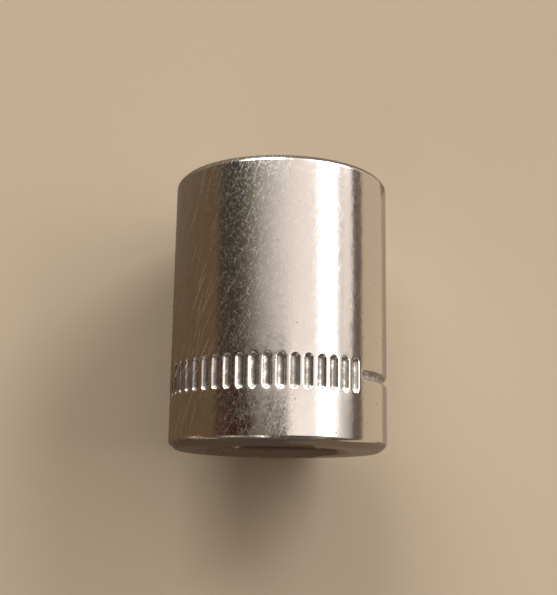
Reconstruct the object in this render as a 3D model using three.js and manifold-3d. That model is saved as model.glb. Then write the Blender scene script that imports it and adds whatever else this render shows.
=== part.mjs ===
// A mechanic's drive socket: one forged, broached and plated piece, lying on its side.
// Millimetres, +Z up. The socket's axis runs along Y: the end with the square drive hole
// faces -Y, and the end that takes the nut faces +Y. The origin is on the axis, halfway along.

import * as THREE from "three";
import { mergeVertices } from "three/addons/utils/BufferGeometryUtils.js";
import Module from "manifold-3d";

// Driving dimensions
const bodyRadius = 11.1;
const bodyLength = 28;
const squareAcrossFlats = 9.6;
const nutAcrossFlats = 16;

// Bevels round the two ends of the body, along the axis and inwards
const driveBevel = { length: 0.6, depth: 0.8 };
const nutBevel = { length: 0.5, depth: 0.45 };

// Square drive hole, with a cone at its mouth and a recess for the ratchet's ball in each flat
const squareCornerRadius = 0.8;
const countersinkRadius = 7.4;
const countersinkSlope = 0.7;
const ballRecess = { radius: 1.7, depth: 0.6, fromDriveFace: 5.2 };

// Broached twelve-point recess for the nut, with a cone at its mouth
const broachDepth = 11.5;
const broachPoints = 12;
const nutMouthRadius = 9.45;
const nutMouthSlope = 1;

// Drilled bore behind the broach, which narrows to the square hole in a cone
const boreRadius = 7.6;
const boreDepth = 13;
const boreConeSlope = 0.7;

// Band of plain stamped marks round the drive end: groups of upright slots, with a long dash
// between the groups. Angles are round the axis, in degrees from the top (+Z) towards +X.
const slotSize = { width: 0.7, height: 3.2, depth: 0.3, fromDriveFace: 6.8 };
const slotGroups = [
  { start: -79, end: 42.5, count: 19 },
  { start: 125, end: 202, count: 13 },
];
const dashSize = { width: 0.9, depth: 0.3, fromDriveFace: 7 };
const dashes = [
  { start: 47, end: 118 },
  { start: 209, end: 274 },
];

// Fineness, and how far a cutting shape runs past the surface that it cuts
const outsideFacets = 96;
const insideFacets = 48;
const roundEndFacets = 5;
const overrun = 1;

const driveFaceY = -bodyLength / 2;
const nutFaceY = bodyLength / 2;

const wasm = await Module();
wasm.setup();

// A closed three.js geometry as a solid that can be cut
function toSolid(geometry) {
  const bare = geometry.index ? geometry.toNonIndexed() : geometry.clone();
  bare.deleteAttribute("normal");
  bare.deleteAttribute("uv");
  const merged = mergeVertices(bare);
  return new wasm.Manifold(new wasm.Mesh({
    numProp: 3,
    vertProperties: new Float32Array(merged.attributes.position.array),
    triVerts: new Uint32Array(merged.index.array),
  }));
}

// A solid as a three.js geometry
function toGeometry(solid) {
  const mesh = solid.getMesh();
  const geometry = new THREE.BufferGeometry();
  geometry.setAttribute("position", new THREE.BufferAttribute(mesh.vertProperties, 3));
  geometry.setIndex(new THREE.BufferAttribute(mesh.triVerts, 1));
  geometry.computeVertexNormals();
  return geometry;
}

// A round solid about the Y axis, from [radius, y] points listed from -Y to +Y
function turned(points, facets) {
  const profile = points.map(([radius, y]) => new THREE.Vector2(radius, y));
  return toSolid(new THREE.LatheGeometry(profile, facets));
}

// A flat outline, with its own Y upwards (+Z), as a bar along the socket's axis
function barAlongAxis(outline, lowY, highY, curveSegments) {
  const options = { depth: highY - lowY, bevelEnabled: false, curveSegments };
  const geometry = new THREE.ExtrudeGeometry(outline, options);
  geometry.rotateX(Math.PI / 2);
  geometry.translate(0, highY, 0);
  return toSolid(geometry);
}

function bodyBlank() {
  const r = bodyRadius;
  return turned([
    [0, driveFaceY],
    [r - driveBevel.depth, driveFaceY],
    [r, driveFaceY + driveBevel.length],
    [r, nutFaceY - nutBevel.length],
    [r - nutBevel.depth, nutFaceY],
    [0, nutFaceY],
  ], outsideFacets);
}

function squareOutline() {
  const half = squareAcrossFlats / 2;
  const inner = half - squareCornerRadius;
  const outline = new THREE.Shape();
  for (let quarter = 0; quarter < 4; quarter += 1) {
    const start = quarter * Math.PI / 2;
    const turn = start + Math.PI / 4;
    const x = Math.SQRT2 * inner * Math.cos(turn);
    const y = Math.SQRT2 * inner * Math.sin(turn);
    outline.absarc(x, y, squareCornerRadius, start, start + Math.PI / 2, false);
  }
  outline.closePath();
  return outline;
}

function squareDriveHole() {
  const squareEndY = nutFaceY - boreDepth;
  return barAlongAxis(squareOutline(), driveFaceY - overrun, squareEndY, roundEndFacets);
}

function driveCountersink() {
  const widest = countersinkRadius + overrun / countersinkSlope;
  return turned([
    [0, driveFaceY - overrun],
    [widest, driveFaceY - overrun],
    [0, driveFaceY + countersinkRadius * countersinkSlope],
  ], insideFacets);
}

// Two crossing rods leave one recess in each of the four flats
function ballRecesses() {
  const reach = squareAcrossFlats + 2 * ballRecess.depth;
  const y = driveFaceY + ballRecess.fromDriveFace;
  const upright = new THREE.CylinderGeometry(ballRecess.radius, ballRecess.radius, reach, 16);
  upright.rotateX(Math.PI / 2);
  const level = upright.clone();
  level.rotateY(Math.PI / 2);
  return [upright, level].map((rod) => toSolid(rod.translate(0, y, 0)));
}

// Two hexagons turned against each other by half a side: their tips and the corners between
function twelvePointOutline() {
  const apothem = nutAcrossFlats / 2;
  const step = Math.PI / broachPoints;
  const tipRadius = apothem / Math.cos(Math.PI / 6);
  const cornerRadius = apothem / Math.cos(step);
  const outline = new THREE.Shape();
  for (let i = 0; i < 2 * broachPoints; i += 1) {
    const radius = i % 2 === 0 ? tipRadius : cornerRadius;
    const angle = (i + 1) * step;
    const x = radius * Math.cos(angle);
    const y = radius * Math.sin(angle);
    if (i === 0) outline.moveTo(x, y);
    else outline.lineTo(x, y);
  }
  outline.closePath();
  return outline;
}

function nutRecess() {
  return barAlongAxis(twelvePointOutline(), nutFaceY - broachDepth, nutFaceY + overrun, 1);
}

function nutMouth() {
  return turned([
    [0, nutFaceY - nutMouthRadius * nutMouthSlope],
    [nutMouthRadius + overrun / nutMouthSlope, nutFaceY + overrun],
    [0, nutFaceY + overrun],
  ], insideFacets);
}

function drilledBore() {
  const bottomY = nutFaceY - boreDepth;
  return turned([
    [0, bottomY - boreRadius * boreConeSlope],
    [boreRadius, bottomY],
    [boreRadius, nutFaceY - broachDepth + overrun],
    [0, nutFaceY - broachDepth + overrun],
  ], insideFacets);
}

// An upright slot with round ends, standing out of the surface at the top of the body
function slotGeometry() {
  const radius = slotSize.width / 2;
  const straight = slotSize.height / 2 - radius;
  const outline = new THREE.Shape();
  outline.absarc(0, straight, radius, 0, Math.PI, false);
  outline.absarc(0, -straight, radius, Math.PI, 2 * Math.PI, false);
  outline.closePath();
  const geometry = new THREE.ExtrudeGeometry(outline, {
    depth: slotSize.depth + overrun,
    bevelEnabled: false,
    curveSegments: roundEndFacets,
  });
  const y = driveFaceY + slotSize.fromDriveFace;
  return geometry.translate(0, y, bodyRadius - slotSize.depth);
}

function stampedSlots() {
  const slots = [];
  for (const { start, end, count } of slotGroups) {
    for (let i = 0; i < count; i += 1) {
      const degrees = start + (end - start) * i / (count - 1);
      slots.push(toSolid(slotGeometry().rotateY(THREE.MathUtils.degToRad(degrees))));
    }
  }
  return slots;
}

function stampedDash({ start, end }) {
  const low = THREE.MathUtils.degToRad(90 - end);
  const high = THREE.MathUtils.degToRad(90 - start);
  const outline = new THREE.Shape();
  outline.absarc(0, 0, bodyRadius + overrun, low, high, false);
  outline.absarc(0, 0, bodyRadius - dashSize.depth, high, low, true);
  outline.closePath();
  const middleY = driveFaceY + dashSize.fromDriveFace;
  const half = dashSize.width / 2;
  const arcFacets = Math.round(outsideFacets * (end - start) / 360);
  return barAlongAxis(outline, middleY - half, middleY + half, arcFacets);
}

function socketBody() {
  const cuts = [
    squareDriveHole(),
    driveCountersink(),
    ...ballRecesses(),
    nutRecess(),
    nutMouth(),
    drilledBore(),
    ...stampedSlots(),
    ...dashes.map(stampedDash),
  ];
  let body = bodyBlank();
  for (const cut of cuts) body = body.subtract(cut);
  const chrome = new THREE.MeshStandardMaterial({
    color: 0xc4bfb6,
    metalness: 1,
    roughness: 0.18,
  });
  const mesh = new THREE.Mesh(toGeometry(body), chrome);
  mesh.name = "socket_body";
  return mesh;
}

const socket = new THREE.Group();
socket.add(socketBody());

export default socket;
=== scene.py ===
"""A chrome-plated drive socket lying on its side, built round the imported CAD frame.

The socket's axis runs along Y: the square drive hole faces -Y, the nut recess faces +Y, and
the stamped band is on top. The body is one closed grid of columns (round the axis) by rows
(along the wall's outline: outside, nut end, inside, drive end), so every edge has a real round.
"""

import math

import bpy
import numpy as np
from mathutils import Matrix, Vector


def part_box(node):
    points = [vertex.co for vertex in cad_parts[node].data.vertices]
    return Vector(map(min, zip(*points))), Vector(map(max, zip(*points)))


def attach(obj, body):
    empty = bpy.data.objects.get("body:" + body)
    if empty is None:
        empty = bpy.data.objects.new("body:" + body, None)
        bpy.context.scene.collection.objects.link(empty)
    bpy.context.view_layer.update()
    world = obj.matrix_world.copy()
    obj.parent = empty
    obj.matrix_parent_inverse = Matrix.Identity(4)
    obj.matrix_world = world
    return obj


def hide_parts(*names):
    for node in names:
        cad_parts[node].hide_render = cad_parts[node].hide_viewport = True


MM = 0.001

# Sizes of the socket that the frame's box doesn't give, as in the CAD part
DRIVE_BEVEL_LENGTH = 0.6 * MM
DRIVE_BEVEL_DEPTH = 0.8 * MM
NUT_BEVEL_LENGTH = 0.5 * MM
NUT_BEVEL_DEPTH = 0.45 * MM
SQUARE_ACROSS = 9.6 * MM
SQUARE_CORNER_RADIUS = 0.8 * MM
COUNTERSINK_RADIUS = 7.4 * MM
COUNTERSINK_SLOPE = 0.7
BALL_RECESS_RADIUS = 1.7 * MM
BALL_RECESS_DEPTH = 0.6 * MM
BALL_RECESS_FROM_FACE = 5.2 * MM
NUT_ACROSS = 16 * MM
BROACH_DEPTH = 11.5 * MM
NUT_MOUTH_RADIUS = 9.45 * MM
BORE_RADIUS = 7.6 * MM
BORE_DEPTH = 13 * MM
BORE_CONE_SLOPE = 0.7
NUT_VALLEY_ROUND = 0.15 * MM
NUT_TIP_ROUND = 0.12 * MM
NUT_TIP_TRIM = 0.06 * MM

# Stamped band: angles in degrees from the top (+Z) towards +X, lengths from the drive face.
# The marks are a little wider and deeper than the CAD part's plain cuts, as their rims are soft.
SLOT_WIDTH = 0.85 * MM
SLOT_HEIGHT = 3.3 * MM
SLOT_FROM_FACE = 6.8 * MM
SLOT_GROUPS = ((-79, 42.5, 19), (125, 202, 13))
DASH_WIDTH = 0.95 * MM
DASH_FROM_FACE = 7 * MM
DASHES = ((47, 118), (209, 274))
STAMP_DEPTH = 0.34 * MM
STAMP_SHOULDER = 0.3 * MM
STAMP_SINK = 0.018 * MM

# Fineness of the body's grid
COLUMNS = 624
BAND_ROWS = 42
PLAIN_ROWS = 6
BALL_ROWS = 20
CORNER_STEPS = 4

# Camera: place relative to the middle of the socket, turn in radians, and lens
CAMERA_PLACE = (1.74 * MM, -21.24 * MM, 106.9 * MM)
CAMERA_TILT = 0.2147
CAMERA_PAN = 0.0172
CAMERA_ROLL = 0.0121
CAMERA_LENS_MM = 63.07
CAMERA_FILM_MM = 36
CAMERA_NEAR = 5 * MM

# The studio round the socket. Degrees are round the socket's axis, from straight up towards
# +X, and spans are along it, as the Y part of a direction. The sky has the colours of ROOM,
# with those of CARD in a strip across it, and turns dark beyond the drive end.
ROOM = (
    (-90, (0.125, 0.075, 0.036)),
    (-69, (0.13, 0.082, 0.038)),
    (-66, (0.042, 0.033, 0.024)),
    (-44, (0.050, 0.041, 0.031)),
    (-35, (0.115, 0.095, 0.065)),
    (-25, (0.27, 0.23, 0.18)),
    (-10, (0.53, 0.47, 0.42)),
    (5, (0.80, 0.71, 0.64)),
    (20, (0.95, 0.80, 0.72)),
    (38, (1.0, 0.88, 0.80)),
    (64, (1.0, 0.9, 0.82)),
    (68, (0.6, 0.52, 0.46)),
    (73, (0.95, 0.82, 0.73)),
    (81, (0.9, 0.78, 0.68)),
    (85, (0.5, 0.42, 0.35)),
    (87, (0.06, 0.05, 0.04)),
    (90, (0.06, 0.05, 0.04)),
)
CARD = (
    (-90, (0.125, 0.075, 0.036)),
    (-70, (0.13, 0.082, 0.038)),
    (-64, (0.05, 0.023, 0.014)),
    (-56, (0.088, 0.036, 0.022)),
    (-49, (0.045, 0.013, 0.008)),
    (-32, (0.035, 0.014, 0.009)),
    (-26, (0.07, 0.045, 0.032)),
    (-18, (0.2, 0.16, 0.115)),
    (-8, (0.15, 0.13, 0.105)),
    (10.3, (0.2, 0.17, 0.15)),
    (11.7, (1.16, 1.0, 0.92)),
    (38, (1.05, 0.95, 0.87)),
    (66, (1.0, 0.9, 0.82)),
    (68, (0.7, 0.66, 0.6)),
    (82, (0.33, 0.28, 0.24)),
    (90, (0.2, 0.15, 0.11)),
)
CARD_SPAN = (-0.3, 0.14)
FRONT_COLOUR = (0.08, 0.062, 0.046, 1)
FRONT_FADE = (-0.36, -0.24)
SOFT_DEGREES = 1.2
SOFT_SPAN = 0.02

# Windows, bright and dim, as (degrees round the axis, span along it, colour)
WINDOWS = (
    ((45, 59), (-0.15, 0.42), (6.6, 6.4, 6.1, 1)),
    ((40, 92), (0.48, 0.82), (12.3, 12.4, 12.5, 1)),
    ((-48, 2), (0.62, 0.95), (7.4, 7.4, 7.2, 1)),
    ((45, 62), (-0.85, -0.15), (0.3, 0.26, 0.2, 1)),
    ((-64, -42), (-0.92, -0.42), (0.6, 0.5, 0.35, 1)),
    ((-24, -14), (-0.93, -0.42), (1.8, 1.7, 1.5, 1)),
)
# What the camera sees past the floor: the floor's own colour in this light
BACKDROP = (0.555, 0.425, 0.294, 1)

# Dark cards that stand on the floor or lean up from it, and show only in reflections: name,
# both ends of the foot, the top over the second end, and colour. Places are in millimetres
# from the middle of the socket's footprint. The cards that lie on the floor round the socket
# (card_foot, card_left, card_front, card_front_right) are painted shadow: they glow dark
# where the floor lies in the socket's shadow, for the chrome to reflect.
CARDS = (
    ("card_right", (150, -300, 0), (150, 300, 0), (150, 300, 36), (0.10, 0.075, 0.055, 1)),
    ("card_foot", (14, -14, 0.3), (14, 50, 0.3), (22, 50, 0.3), (0.25, 0.185, 0.12, 1)),
    ("card_left", (-13.5, -17, 0.3), (-13.5, 50, 0.3), (-60, 50, 22), (0.10, 0.053, 0.019, 1)),
    ("card_front", (-60, -14.1, 0.3), (4, -14.1, 0.3), (4, -60, 12), (0.06, 0.036, 0.019, 1)),
    ("card_front_right", (4, -14.1, 0.3), (30, -14.1, 0.3), (30, -60, 12), (0.13, 0.08, 0.043, 1)),
    ("card_wall", (-60, -85, 0), (60, -85, 0), (60, -85, 60), (0.02, 0.01, 0.006, 1)),
    ("card_back", (-50, 18, 0.3), (22, 18, 0.3), (22, 120, 45), (0.17, 0.12, 0.07, 1)),
)
FLOOR_COLOUR = (0.43, 0.345, 0.255, 1)
FLOOR_ROUGHNESS = 0.7
FLOOR_HALF = 2.0

# Chrome: the plated outside; the inside of the holes, duller and dirtier plating darkened further
# as painted shade; and dirt with painted shade in the stamped marks
CHROME = (0.82, 0.80, 0.77)
CHROME_DULL = (0.74, 0.72, 0.69)
INSIDE_DULL_AND_SHADED = (0.26, 0.22, 0.18)
DIRT_AND_SHADE = (0.10, 0.075, 0.05)
CHROME_ROUGHNESS = 0.11
INSIDE_ROUGHNESS = 0.4
SPECKLE_ROUGHNESS = 0.3
SCRATCH_ROUGHNESS = 0.9
DIRT_ROUGHNESS = 0.6

# Where things are on the wall, in millimetres: the inside from the axis and from both faces,
# and the stamped marks from the drive face and below the outside
INSIDE_RADIUS_MM = (9.5, 9.3)
INSIDE_FROM_DRIVE_FACE_MM = 0.7
INSIDE_FROM_NUT_FACE_MM = 0.9
BAND_FROM_FACE_MM = (4.9, 8.7)
STAMPED_BELOW_MM = (1, 0.17)

# Wear fades between two places along X, in millimetres, down to a share of its strength: all
# of it is strongest on the -X side, and the long scratches on the -X flank. The long ones end
# on the bevels, between two depths below the outside.
WORN_MM = (0, 3.5)
WORN_ELSEWHERE = 0.33
FLANK_MM = (-5.5, -7.5)
LONG_ELSEWHERE = 0.35
LONG_END_BELOW_MM = (0.8, 0.4)

# Patterns to a millimetre, and the values between which each one comes on. A pit's edge is
# measured in cells, and luck is a random number from 0 to 1 for each cell.
BLOTCHES_PER_MM = 0.28
MOTTLE_PER_MM = (4.6, 2.8, 1)
MOTTLE_RANGE = (0.34, 0.76)
# Dirt and painted shade in the stamped marks: its pattern, range and strength
GRIME_AND_SHADE_PER_MM = 1.3
GRIME_AND_SHADE_RANGE = (0.15, 0.6)
GRIME_AND_SHADE_STRENGTH = 0.75
PIT_CELLS_PER_MM = 0.5
PIT_EDGE = (0.015, 0.05)
PIT_LUCK = (0.7, 0.75)

# Bump: the height of a pattern of weight 1, and the weight of each pattern
BUMP_HEIGHT = 0.012 * MM
BLOTCH_BUMP = 3
MOTTLE_BUMP = 0.32
PIT_BUMP = 0.8
SCRATCH_BUMP = 0.12

# Layers of scratches: turn in radians, length and spacing in millimetres, bend, strength
SHORT_SCRATCHES = (
    (0.5, 1.0, 0.4, 2.5, 0.2),
    (1.4, 1.2, 0.45, 2.5, 0.2),
    (2.5, 0.9, 0.4, 2.5, 0.2),
    (0.9, 2.2, 0.8, 2.5, 0.24),
)
LONG_SCRATCHES = (
    (1.1, 6.5, 0.55, 0.6, 0.62),
    (1.3, 4.5, 0.6, 0.6, 0.5),
)
SCRATCH_TILT = 1.3
SCRATCH_HALF_WIDTH_MM = 0.08
SCRATCH_FADE = (0.5, 0.2)
SCRATCH_LUCK = (0.2, 0.9)
LAYER_SHIFT_MM = (31.7, 17.3)


def crowded(low, high, count, peaks, width, strength):
    """count + 1 values from low to high, packed closer together near the peaks."""
    fine = np.linspace(low, high, 20001)
    density = np.ones_like(fine)
    for peak in peaks:
        density += strength * np.exp(-(((fine - peak) / width) ** 2))
    total = np.concatenate(([0.0], np.cumsum((density[1:] + density[:-1]) / 2)))
    return np.interp(np.linspace(0, total[-1], count + 1), total, fine)


def slot_angles():
    """The middle of every stamped slot, in degrees."""
    angles = []
    for start, end, count in SLOT_GROUPS:
        angles.extend(np.linspace(start, end, count))
    return angles


def turned_apart(angle, other):
    """The signed turn from other to angle, in degrees, the short way round."""
    return (angle - other + 180) % 360 - 180


def ring_angles(edges, width, strength):
    """Column angles in degrees, from -90 round to 270, crowded at the given edges."""
    wrapped = [(edge + 90) % 360 - 90 for edge in edges]
    near = [edge + turn for edge in wrapped for turn in (-360, 0, 360)]
    return crowded(-90, 270, COLUMNS, near, width, strength)[:-1]


def stamp_distance(angle, y, radius, drive_face):
    """How far a point of the outside lies from the nearest stamped mark; negative inside it."""
    nearest = np.full(np.broadcast(angle, y).shape, np.inf)
    for middle in slot_angles():
        across = np.radians(turned_apart(angle, middle)) * radius
        straight = (SLOT_HEIGHT - SLOT_WIDTH) / 2
        along = np.maximum(np.abs(y - drive_face - SLOT_FROM_FACE) - straight, 0)
        nearest = np.minimum(nearest, np.hypot(across, along) - SLOT_WIDTH / 2)
    for start, end in DASHES:
        straight = math.radians(end - start) / 2 * radius - DASH_WIDTH / 2
        offset = np.abs(np.radians(turned_apart(angle, (start + end) / 2)) * radius)
        across = np.maximum(offset - straight, 0)
        along = y - drive_face - DASH_FROM_FACE
        nearest = np.minimum(nearest, np.hypot(across, along) - DASH_WIDTH / 2)
    return nearest


def stamp_depth(distance):
    """Depth of the stamped surface: grooves with steep rims that shelve to a line along the
    middle, and slightly sunk shoulders."""
    t = np.clip(-distance / (SLOT_WIDTH / 2), 0, 1)
    groove = STAMP_DEPTH * (np.sqrt(1 - (1 - t) ** 2) + t) / 2
    shoulder = np.clip(1 - np.maximum(distance, 0) / STAMP_SHOULDER, 0, 1) ** 2
    return groove + STAMP_SINK * shoulder


def soft_max(a, b, softness):
    """The greater of two lengths, with the corner between them rounded."""
    gap = np.maximum(softness - np.abs(a - b), 0) / softness
    return np.maximum(a, b) + gap * gap * softness / 4


def twelve_point_radius(angle):
    """Radius of the nut recess: two hexagons, turned by half a side, with rounded corners."""
    apothem = NUT_ACROSS / 2

    def hexagon(turn):
        off = np.radians((angle - turn + 30) % 60 - 30)
        return apothem / np.cos(off)

    tips = apothem / math.cos(math.radians(30)) - NUT_TIP_TRIM
    star = soft_max(hexagon(15), hexagon(45), NUT_VALLEY_ROUND)
    return -soft_max(-star, np.full_like(star, -tips), NUT_TIP_ROUND)


def square_radius(angle):
    """Radius of the square hole, with its corners rounded."""
    half = SQUARE_ACROSS / 2
    off_flat = np.radians((angle + 45) % 90 - 45)
    flat = half / np.cos(off_flat)
    centre = math.sqrt(2) * (half - SQUARE_CORNER_RADIUS)
    off_corner = np.radians(angle % 90 - 45)
    inside = np.maximum(SQUARE_CORNER_RADIUS**2 - (centre * np.sin(off_corner)) ** 2, 0)
    rounded = centre * np.cos(off_corner) + np.sqrt(inside)
    tangent = math.atan2(half - SQUARE_CORNER_RADIUS, half)
    in_corner = np.abs(off_corner) < math.pi / 4 - tangent
    return np.where(in_corner, rounded, flat)


def wall_corners(radius, drive_face, nut_face, nut_wall, square_wall):
    """Corners of the wall's outline for every column, as [radius, y, round-off] in order:
    drive bevel, outside, nut end, nut recess, bore, square hole, countersink."""
    broach_end = nut_face - BROACH_DEPTH
    bore_end = nut_face - BORE_DEPTH
    cone_y = bore_end - (BORE_RADIUS - square_wall) * BORE_CONE_SLOPE
    sink_y = drive_face + (COUNTERSINK_RADIUS - square_wall) * COUNTERSINK_SLOPE
    return (
        (radius - DRIVE_BEVEL_DEPTH, drive_face, 0.22 * MM),
        (radius, drive_face + DRIVE_BEVEL_LENGTH, 0.3 * MM),
        (radius, nut_face - NUT_BEVEL_LENGTH, 0.2 * MM),
        (radius - NUT_BEVEL_DEPTH, nut_face, 0.16 * MM),
        (NUT_MOUTH_RADIUS, nut_face, 0.1 * MM),
        (nut_wall, nut_face - (NUT_MOUTH_RADIUS - nut_wall), 0.08 * MM),
        (nut_wall, broach_end, 0.1 * MM),
        (BORE_RADIUS, broach_end, 0.1 * MM),
        (BORE_RADIUS, bore_end, 0.3 * MM),
        (square_wall, cone_y, 0.12 * MM),
        (square_wall, sink_y, 0.14 * MM),
        (COUNTERSINK_RADIUS, drive_face, 0.15 * MM),
    )


def rounded_corner(before, corner, after):
    """Rows that carry the outline round one corner on a smooth curve."""
    tip = np.stack(np.broadcast_arrays(*corner[:2]))
    sides = []
    for end in (before, after):
        away = np.stack(np.broadcast_arrays(*end[:2], tip[0])[:2]) - tip
        length = np.hypot(*away)
        reach = np.minimum(corner[2], 0.45 * length)
        sides.append(tip + away / length * reach)
    rows = []
    for t in np.linspace(0, 1, CORNER_STEPS + 1):
        rows.append((1 - t) ** 2 * sides[0] + 2 * t * (1 - t) * tip + t * t * sides[1])
    return rows


def straight_rows(first, last, fractions):
    """Rows part of the way from one row to the next."""
    return [first + (last - first) * t for t in fractions]


def body_rows(radius, drive_face, nut_face, outside, nut, square):
    """Every row of the body's grid, as (angles in degrees, radii, ys)."""
    nut_wall = twelve_point_radius(nut)
    square_wall = square_radius(square)
    corners = wall_corners(radius, drive_face, nut_face, nut_wall, square_wall)
    count = len(corners)
    rounds = []
    for i, corner in enumerate(corners):
        corner = tuple(np.broadcast_to(v, (COLUMNS,)) for v in corner)
        before = tuple(np.broadcast_to(v, (COLUMNS,)) for v in corners[i - 1])
        after = tuple(np.broadcast_to(v, (COLUMNS,)) for v in corners[(i + 1) % count])
        rounds.append(rounded_corner(before, corner, after))
    # The angles that the columns keep round each corner, and the rows between the corners
    angles = [outside] * 4 + [nut] * 5 + [square] * 3
    between = {i: (0.5,) for i in range(count)}
    between[1] = band_fractions(rounds[1][-1][1, 0], rounds[2][0][1, 0], drive_face)
    between[3] = between[11] = (0.2, 0.5, 0.8)
    between[8] = (0.2, 0.4, 0.6, 0.8)
    between[9] = ball_fractions(drive_face, nut_face)
    rows = []
    for i in range(count):
        last, following = rounds[i][-1], rounds[(i + 1) % count][0]
        rows.extend((angles[i], *row) for row in rounds[i])
        here, there = angles[i], angles[(i + 1) % count]
        for t, row in zip(between[i], straight_rows(last, following, between[i])):
            rows.append((here + (there - here) * t, *row))
    return rows


def band_fractions(start_y, end_y, drive_face):
    """Rows along the outside, close together where the stamped band is."""
    half = SLOT_HEIGHT / 2 + STAMP_SHOULDER
    middle = drive_face + SLOT_FROM_FACE
    dash = drive_face + DASH_FROM_FACE
    dash_edges = [dash + side * DASH_WIDTH * 0.4 for side in (-1, 1)]
    slot_ends = [middle + side * (SLOT_HEIGHT - SLOT_WIDTH * 0.4) / 2 for side in (-1, 1)]
    rims = dash_edges + slot_ends
    low, high = middle - half, middle + half
    band = crowded(low, high, BAND_ROWS, rims, width=0.2 * MM, strength=1.5)
    plain = np.linspace(band[-1], end_y, PLAIN_ROWS + 2)[1:-1]
    ys = np.concatenate(([(start_y + band[0]) / 2], band, plain))
    return (ys - start_y) / (end_y - start_y)


def ball_fractions(drive_face, nut_face):
    """Rows along the square hole, close together where the ball recesses are."""
    length = nut_face - BORE_DEPTH - drive_face
    middle = 1 - BALL_RECESS_FROM_FACE / length
    half = 1.15 * BALL_RECESS_RADIUS / length
    return np.concatenate(([0.1, 0.3], np.linspace(middle - half, middle + half, BALL_ROWS)))


def add_ball_recesses(x, z, y, drive_face):
    """Sinks a shallow round hollow into each flat of the square hole."""
    half = SQUARE_ACROSS / 2
    rim, deep = BALL_RECESS_RADIUS, BALL_RECESS_DEPTH
    sphere = (rim**2 + deep**2) / (2 * deep)
    along = y - drive_face - BALL_RECESS_FROM_FACE
    for wall, side in ((x, z), (z, x)):
        on_flat = (np.abs(np.abs(wall) - half) < 0.01 * MM) & (np.abs(side) < half)
        off = np.hypot(side, along)
        hollow = np.sqrt(np.maximum(sphere**2 - off**2, 0)) - (sphere - deep)
        wall += np.where(on_flat, np.sign(wall) * np.maximum(hollow, 0), 0)


def body_points(low, high):
    """The grid's points, row by row, in the row frame."""
    radius = (high.x - low.x) / 2
    drive_face, nut_face = low.y, high.y
    marks = slot_angles()
    slot_half = math.degrees(SLOT_WIDTH / 2 / radius)
    walls = [mark + side * slot_half * 0.8 for mark in marks for side in (-1, 1)]
    ends = [end for dash in DASHES for end in dash]
    outside = ring_angles(walls + ends, width=0.9, strength=4)
    nut = ring_angles(range(0, 360, 15), width=1.2, strength=1.5)
    square = ring_angles(range(45, 360, 90), width=5, strength=1.2)
    rows = []
    for angle, r, y in body_rows(radius, drive_face, nut_face, outside, nut, square):
        on_outside = r > radius - 1e-9
        sunk = stamp_depth(stamp_distance(angle, y, radius, drive_face))
        r = np.where(on_outside, r - sunk, r)
        x, z = r * np.sin(np.radians(angle)), r * np.cos(np.radians(angle))
        y = np.array(y)
        if np.all(r < BORE_RADIUS):
            add_ball_recesses(x, z, y, drive_face)
        rows.append(np.stack((x, y, z), axis=1))
    return np.array(rows)


def grid_mesh(name, points):
    """A mesh from rows of points that close on themselves both ways."""
    row_count, column_count = points.shape[:2]
    row = np.arange(row_count)[:, None]
    column = np.arange(column_count)[None, :]
    next_row, next_column = (row + 1) % row_count, (column + 1) % column_count
    quads = np.stack((
        row * column_count + column,
        row * column_count + next_column,
        next_row * column_count + next_column,
        next_row * column_count + column,
    ), axis=-1).reshape(-1, 4)
    mesh = bpy.data.meshes.new(name)
    mesh.from_pydata(points.reshape(-1, 3).tolist(), [], quads.tolist())
    mesh.validate()
    mesh.shade_smooth()
    return mesh


class Nodes:
    """Makes nodes in one node tree: inputs are numbers, colours or other nodes' sockets."""

    def __init__(self, tree, material=None):
        self.tree = tree
        self.material = material

    @classmethod
    def of_material(cls, name):
        """The nodes of a new material."""
        material = bpy.data.materials.new(name)
        material.use_nodes = True
        return cls(material.node_tree, material)

    def fill(self, node, inputs):
        """Sets a node's inputs, or links other nodes' sockets to them."""
        for key, value in inputs.items():
            if isinstance(value, bpy.types.NodeSocket):
                self.tree.links.new(value, node.inputs[key])
            else:
                node.inputs[key].default_value = value

    def shade(self, inputs):
        """Sets the material's shader."""
        self.fill(self.tree.nodes["Principled BSDF"], inputs)

    def make(self, kind, inputs=None, **settings):
        """A new node with its settings and inputs."""
        node = self.tree.nodes.new(kind)
        for name, value in settings.items():
            setattr(node, name, value)
        self.fill(node, inputs or {})
        return node

    def math(self, operation, first, second=0.0):
        """The result of one arithmetic operation."""
        inputs = {0: first, 1: second}
        return self.make("ShaderNodeMath", inputs, operation=operation).outputs[0]

    def scaled(self, value, factor):
        """A value times a number or another value."""
        return self.math("MULTIPLY", value, factor)

    def step(self, value, low, high):
        """0 at low and beyond, 1 at high and beyond, and smooth between them."""
        inputs = {"Value": value, "From Min": low, "From Max": high}
        node = self.make("ShaderNodeMapRange", inputs, interpolation_type="SMOOTHSTEP")
        return node.outputs[0]

    def span(self, value, low, high, soft):
        """1 between low and high, 0 outside, with soft edges."""
        rising = self.step(value, low - soft, low + soft)
        falling = self.step(value, high - soft, high + soft)
        return self.math("SUBTRACT", rising, falling)

    def mix(self, factor, first, second):
        """A colour between two colours."""
        inputs = {"Factor": factor, 6: first, 7: second}
        return self.make("ShaderNodeMix", inputs, data_type="RGBA").outputs[2]

    def blend(self, factor, first, second):
        """A number between two numbers."""
        inputs = {"Factor": factor, 2: first, 3: second}
        return self.make("ShaderNodeMix", inputs).outputs[0]

    def ramp(self, value, stops):
        """A colour for a value from 0 to 1, from (place, (red, green, blue)) stops."""
        node = self.make("ShaderNodeValToRGB", {0: value})
        elements = node.color_ramp.elements
        while len(elements) < len(stops):
            elements.new(0.5)
        for element, (place, colour) in zip(elements, stops):
            element.position = place
            element.color = (*colour, 1)
        return node.outputs[0]


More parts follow.
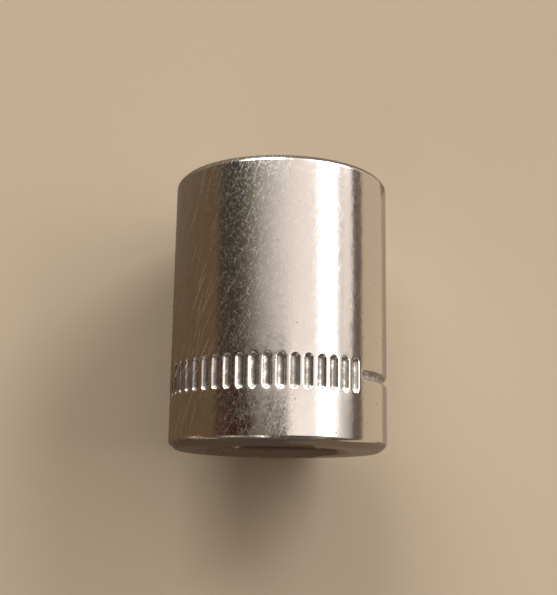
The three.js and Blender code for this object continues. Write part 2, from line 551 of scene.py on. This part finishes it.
def unrolled(nodes, radius_mm):
    """Millimetres round the axis and along the wall as a flat place, the radius, x and y."""
    place = nodes.make("ShaderNodeTexCoord").outputs["Object"]
    split = nodes.make("ShaderNodeSeparateXYZ", {0: place})
    x, y, z = (nodes.scaled(split.outputs[i], 1 / MM) for i in range(3))
    radius = nodes.math("SQRT", nodes.math("ADD", nodes.scaled(x, x), nodes.scaled(z, z)))
    around = nodes.scaled(nodes.math("ARCTAN2", x, z), radius_mm)
    along = nodes.math("ADD", y, radius)
    flat = nodes.make("ShaderNodeCombineXYZ", {0: around, 1: along}).outputs[0]
    return flat, radius, x, y


def noise(nodes, place, scale, detail, distortion=0.0):
    """Cloudy noise from 0 to 1."""
    inputs = {"Vector": place, "Scale": scale, "Detail": detail, "Distortion": distortion}
    return nodes.make("ShaderNodeTexNoise", inputs, noise_dimensions="2D").outputs["Fac"]


def random_cells(nodes, place, scale):
    """Random cells over a flat place: a node with Distance, Color and Position outputs."""
    inputs = {"Vector": place, "Scale": scale}
    return nodes.make("ShaderNodeTexVoronoi", inputs, voronoi_dimensions="2D")


def luck_of(nodes, cell):
    """Three random numbers from 0 to 1 for each cell."""
    return nodes.make("ShaderNodeSeparateColor", {0: cell.outputs["Color"]}).outputs


def scratches(nodes, flat, seed, turn, length, spacing, bend, strength):
    """Thin bent lines that run one way more or less, one in each cell of a random pattern."""
    places = {
        "Vector": flat,
        "Location": (seed * LAYER_SHIFT_MM[0], seed * LAYER_SHIFT_MM[1], 0),
        "Rotation": (0, 0, turn),
        "Scale": (length, spacing, 1),
    }
    place = nodes.make("ShaderNodeMapping", places, vector_type="TEXTURE").outputs[0]
    cell = random_cells(nodes, place, 1)
    ends = {0: place, 1: cell.outputs["Position"]}
    off = nodes.make("ShaderNodeVectorMath", ends, operation="SUBTRACT").outputs[0]
    split = nodes.make("ShaderNodeSeparateXYZ", {0: off})
    along, across = split.outputs["X"], split.outputs["Y"]
    luck = luck_of(nodes, cell)
    tilted = nodes.scaled(nodes.math("SUBTRACT", luck[0], 0.5), SCRATCH_TILT)
    bent = nodes.scaled(nodes.math("SUBTRACT", luck[1], 0.5), bend)
    slope = nodes.math("ADD", tilted, nodes.scaled(bent, along))
    across = nodes.math("ADD", across, nodes.scaled(slope, along))
    half = SCRATCH_HALF_WIDTH_MM / spacing
    line = nodes.step(nodes.math("ABSOLUTE", across), half, 0)
    faded = nodes.step(nodes.math("ABSOLUTE", along), *SCRATCH_FADE)
    chosen = nodes.step(luck[2], *SCRATCH_LUCK)
    return nodes.scaled(nodes.scaled(nodes.scaled(line, faded), chosen), strength)


def scratch_layers(nodes, flat, layers, first_seed):
    """The strongest of several layers of scratches at each place."""
    strongest = scratches(nodes, flat, first_seed, *layers[0])
    for seed, layer in enumerate(layers[1:], first_seed + 1):
        strongest = nodes.math("MAXIMUM", strongest, scratches(nodes, flat, seed, *layer))
    return strongest


def all_scratches(nodes, flat, radius, x, radius_mm):
    """Short scratches everywhere, and long ones that are strong on the -X flank."""
    outside = nodes.step(radius, *(radius_mm - below for below in LONG_END_BELOW_MM))
    flank = nodes.blend(nodes.step(x, *FLANK_MM), LONG_ELSEWHERE, 1.0)
    short = scratch_layers(nodes, flat, SHORT_SCRATCHES, 0)
    long = scratch_layers(nodes, flat, LONG_SCRATCHES, len(SHORT_SCRATCHES))
    return nodes.math("MAXIMUM", nodes.scaled(nodes.scaled(long, flank), outside), short)


def pits(nodes, flat):
    """A few small round pits in the plating."""
    cell = random_cells(nodes, flat, PIT_CELLS_PER_MM)
    chosen = nodes.step(luck_of(nodes, cell)[0], *PIT_LUCK)
    far = nodes.step(cell.outputs["Distance"], *PIT_EDGE)
    return nodes.scaled(nodes.math("SUBTRACT", 1, far), chosen)


def grime_and_shade(nodes, flat, radius, y, radius_mm, half_length_mm):
    """Uneven dirt and painted shade in the stamped marks."""
    near, far = (from_face - half_length_mm for from_face in BAND_FROM_FACE_MM)
    lowest, highest = (radius_mm - below for below in STAMPED_BELOW_MM)
    band = nodes.span(y, near, far, soft=0.1)
    sunk = nodes.span(radius, lowest, highest, soft=0.07)
    uneven = nodes.step(noise(nodes, flat, GRIME_AND_SHADE_PER_MM, detail=3), *GRIME_AND_SHADE_RANGE)
    return nodes.scaled(nodes.scaled(nodes.scaled(sunk, band), uneven), GRIME_AND_SHADE_STRENGTH)


def on_inside(nodes, radius, y, half_length_mm):
    """1 on the walls of the holes, 0 on the outside and on both end faces."""
    first = INSIDE_FROM_DRIVE_FACE_MM - half_length_mm
    last = half_length_mm - INSIDE_FROM_NUT_FACE_MM
    deep = nodes.span(y, first, last, soft=0.3)
    return nodes.scaled(deep, nodes.step(radius, *INSIDE_RADIUS_MM))


def plate_bump(nodes, blotches, mottle, pitted, scratched):
    """The normal of a surface with faint waves, mottling, pits and scratches."""
    height = nodes.scaled(blotches, BLOTCH_BUMP)
    height = nodes.math("ADD", height, nodes.scaled(mottle, MOTTLE_BUMP))
    height = nodes.math("SUBTRACT", height, nodes.scaled(pitted, PIT_BUMP))
    height = nodes.math("SUBTRACT", height, nodes.scaled(scratched, SCRATCH_BUMP))
    inputs = {"Strength": 1, "Distance": BUMP_HEIGHT, "Height": height}
    return nodes.make("ShaderNodeBump", inputs).outputs[0]


def chrome_material(radius_mm, half_length_mm):
    """Bright plate with fine handling scratches, mottling, pits, dirt and painted shade in the
    stamped marks, and painted shade in the holes.
    """
    nodes = Nodes.of_material("chrome_plate")
    flat, radius, x, y = unrolled(nodes, radius_mm)
    squeezed = nodes.make("ShaderNodeMapping", {"Vector": flat, "Scale": MOTTLE_PER_MM})
    mottle = noise(nodes, squeezed.outputs[0], 1, detail=5, distortion=0.7)
    blotches = noise(nodes, flat, BLOTCHES_PER_MM, detail=3)
    worn = nodes.blend(nodes.step(x, *WORN_MM), 1.0, WORN_ELSEWHERE)
    speckled = nodes.scaled(nodes.step(mottle, *MOTTLE_RANGE), worn)
    scratched = nodes.scaled(all_scratches(nodes, flat, radius, x, radius_mm), worn)
    pitted = pits(nodes, flat)
    stamped = grime_and_shade(nodes, flat, radius, y, radius_mm, half_length_mm)
    dirt_and_shade = nodes.math("MAXIMUM", stamped, pitted)
    inside = on_inside(nodes, radius, y, half_length_mm)

    colour = nodes.mix(speckled, (*CHROME, 1), (*CHROME_DULL, 1))
    # The holes' walls: duller, dirtier plating, darkened further as painted shade in the holes
    colour = nodes.mix(inside, colour, (*INSIDE_DULL_AND_SHADED, 1))
    # Dark in the stamped marks, as dirt and painted shade, and in the pits
    colour = nodes.mix(dirt_and_shade, colour, (*DIRT_AND_SHADE, 1))

    rough = nodes.blend(speckled, CHROME_ROUGHNESS, SPECKLE_ROUGHNESS)
    rough = nodes.blend(scratched, rough, SCRATCH_ROUGHNESS)
    rough = nodes.blend(inside, rough, INSIDE_ROUGHNESS)
    rough = nodes.blend(dirt_and_shade, rough, DIRT_ROUGHNESS)

    normal = plate_bump(nodes, blotches, mottle, pitted, scratched)
    nodes.shade({"Metallic": 1, "Base Color": colour, "Roughness": rough, "Normal": normal})
    return nodes.material


def socket_body():
    """The socket's finished mesh, in place of the CAD node."""
    low, high = (Vector(corner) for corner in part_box("socket_body"))
    mesh = grid_mesh("socket", body_points(low, high))
    body = bpy.data.objects.new("socket", mesh)
    bpy.context.collection.objects.link(body)
    half_size_mm = (high - low) / 2 / MM
    mesh.materials.append(chrome_material(half_size_mm.x, half_size_mm.y))
    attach(body, "root")
    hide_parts("socket_body")


def floor_material():
    """Plain pale matt board."""
    nodes = Nodes.of_material("pale_floor")
    surface = {
        "Base Color": FLOOR_COLOUR,
        "Roughness": FLOOR_ROUGHNESS,
        "Specular IOR Level": 0,
    }
    nodes.shade(surface)
    return nodes.material


def card_material(name, colour):
    """One plain colour that needs no light."""
    nodes = Nodes.of_material(name)
    nodes.shade({"Base Color": (0, 0, 0, 1), "Emission Color": colour, "Emission Strength": 1})
    return nodes.material


def stage_board(name, corners, material):
    """A flat board of the studio, which isn't part of the object."""
    mesh = bpy.data.meshes.new(name)
    mesh.from_pydata(corners, [], [(0, 1, 2, 3)])
    mesh.materials.append(material)
    board = bpy.data.objects.new(name, mesh)
    bpy.context.collection.objects.link(board)
    return board


def floor(z):
    """A wide floor at the given height."""
    half = FLOOR_HALF
    corners = [(-half, -half, z), (half, -half, z), (half, half, z), (-half, half, z)]
    stage_board("floor", corners, floor_material())


def dark_cards(floor_z):
    """Dark cards that give the chrome something dark to reflect near the floor; those on the floor
    round the socket are painted shadow.
    """
    lift = Vector((0, 0, floor_z))
    for name, *places, colour in CARDS:
        foot, other_foot, top = (Vector(place) * MM + lift for place in places)
        corners = [foot, other_foot, top, foot + top - other_foot]
        card = stage_board(name, corners, card_material(name, colour))
        card.visible_camera = False
        card.visible_diffuse = False
        card.visible_shadow = False


def camera(middle):
    """The camera at the photograph's viewing angle."""
    data = bpy.data.cameras.new("camera")
    data.lens = CAMERA_LENS_MM
    data.sensor_width = CAMERA_FILM_MM
    data.clip_start = CAMERA_NEAR
    eye = bpy.data.objects.new("camera", data)
    turn = (
        Matrix.Rotation(CAMERA_TILT, 4, "X")
        @ Matrix.Rotation(CAMERA_PAN, 4, "Y")
        @ Matrix.Rotation(CAMERA_ROLL, 4, "Z")
    )
    eye.matrix_world = Matrix.Translation(middle + Vector(CAMERA_PLACE)) @ turn
    bpy.context.collection.objects.link(eye)
    bpy.context.scene.camera = eye


def sky_colour(nodes, degrees, stops):
    """A colour for degrees round the axis, from (degrees, (red, green, blue)) stops."""
    place = nodes.math("DIVIDE", nodes.math("ADD", degrees, 90), 180)
    return nodes.ramp(place, [((stop + 90) / 180, colour) for stop, colour in stops])


def studio():
    """Soft light from all round: bright windows up on the right and at the far end, and a pale
    ceiling that fades to a dark wall on the left and ends dark over the drive end."""
    world = bpy.data.worlds.new("studio")
    bpy.context.scene.world = world
    world.use_nodes = True
    nodes = Nodes(world.node_tree)
    place = nodes.make("ShaderNodeTexCoord").outputs["Generated"]
    split = nodes.make("ShaderNodeSeparateXYZ", {0: place})
    along = split.outputs["Y"]
    around = nodes.math("ARCTAN2", split.outputs["X"], split.outputs["Z"])
    degrees = nodes.scaled(around, math.degrees(1))
    room = sky_colour(nodes, degrees, ROOM)
    card = sky_colour(nodes, degrees, CARD)
    light = nodes.mix(nodes.span(along, *CARD_SPAN, SOFT_SPAN), room, card)
    front = nodes.math("SUBTRACT", 1, nodes.step(along, *FRONT_FADE))
    light = nodes.mix(front, light, FRONT_COLOUR)
    for angles, spans, colour in WINDOWS:
        wide = nodes.span(degrees, *angles, SOFT_DEGREES)
        high = nodes.span(along, *spans, SOFT_SPAN)
        light = nodes.mix(nodes.scaled(wide, high), light, colour)
    seen = nodes.make("ShaderNodeLightPath").outputs["Is Camera Ray"]
    light = nodes.mix(seen, light, BACKDROP)
    nodes.fill(world.node_tree.nodes["Background"], {"Color": light})


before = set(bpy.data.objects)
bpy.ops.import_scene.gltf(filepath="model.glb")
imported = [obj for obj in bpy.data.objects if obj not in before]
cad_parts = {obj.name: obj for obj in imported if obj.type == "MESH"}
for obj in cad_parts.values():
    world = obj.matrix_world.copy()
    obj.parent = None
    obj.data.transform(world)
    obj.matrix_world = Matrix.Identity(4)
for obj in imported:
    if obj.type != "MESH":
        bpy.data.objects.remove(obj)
bpy.context.scene.view_settings.view_transform = "Standard"
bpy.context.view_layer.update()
low_corner, high_corner = (Vector(corner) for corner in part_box("socket_body"))
camera((low_corner + high_corner) / 2)
studio()
dark_cards(low_corner.z)
floor(low_corner.z)
socket_body()
